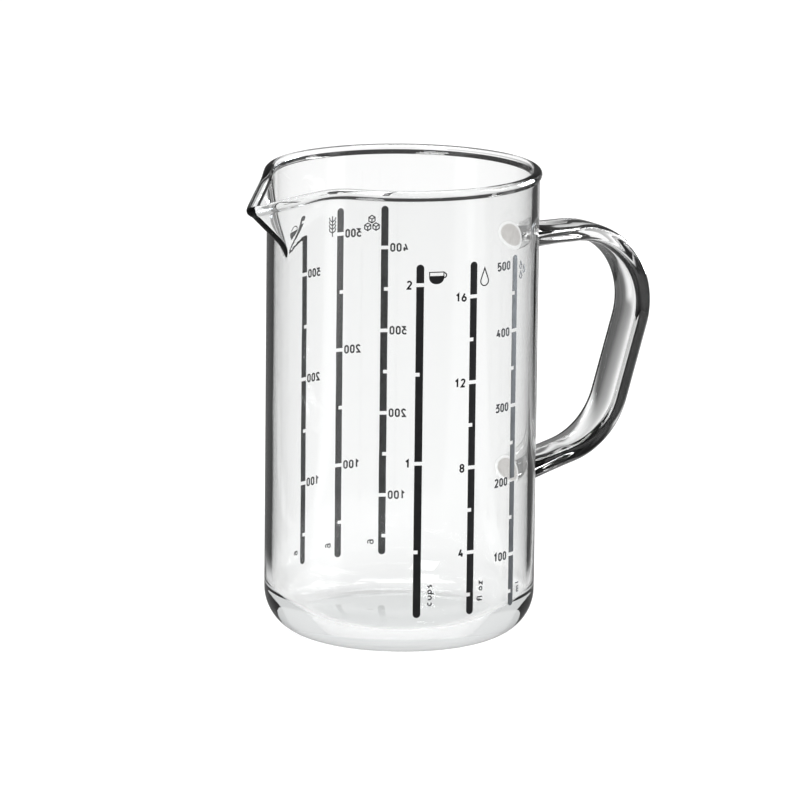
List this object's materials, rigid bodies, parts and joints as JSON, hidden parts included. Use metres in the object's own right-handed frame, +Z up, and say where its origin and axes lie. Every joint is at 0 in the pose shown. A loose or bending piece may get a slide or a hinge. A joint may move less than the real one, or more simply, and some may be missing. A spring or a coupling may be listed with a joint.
{
  "type": "measuring cup",
  "caption": "Straight clear glass measuring beaker with a folded pouring beak, a fused glass handle and fired enamel measuring scales on the front and back.",
  "frame": {"origin": "on the beaker's axis at the flat underside of the base", "axes": "+Z up along the beaker's axis, +X towards the handle, -X towards the pouring beak, -Y towards the volume scales"},
  "size_m": [0.136, 0.0814, 0.139],
  "materials": {
    "clear_glass": "clear fire-polished heat-resistant glass",
    "black_enamel": "fired black enamel print, satin"
  },
  "bodies": {
    "root": {"glass_beaker": "clear_glass", "glass_handle": "clear_glass", "cup_scale_bar": "black_enamel", "cup_scale_numerals": "black_enamel", "cup_scale_unit": "black_enamel", "cup_scale_symbol": "black_enamel", "ounce_scale_bar": "black_enamel", "ounce_scale_numerals": "black_enamel", "ounce_scale_unit": "black_enamel", "ounce_scale_symbol": "black_enamel", "millilitre_scale_bar": "black_enamel", "millilitre_scale_numerals": "black_enamel", "millilitre_scale_unit": "black_enamel", "millilitre_scale_symbol": "black_enamel", "sugar_scale_bar": "black_enamel", "sugar_scale_numerals": "black_enamel", "sugar_scale_unit": "black_enamel", "sugar_scale_symbol": "black_enamel", "flour_scale_bar": "black_enamel", "flour_scale_numerals": "black_enamel", "flour_scale_unit": "black_enamel", "flour_scale_symbol": "black_enamel", "grain_scale_bar": "black_enamel", "grain_scale_numerals": "black_enamel", "grain_scale_unit": "black_enamel", "grain_scale_symbol": "black_enamel"}
  },
  "joints": []
}
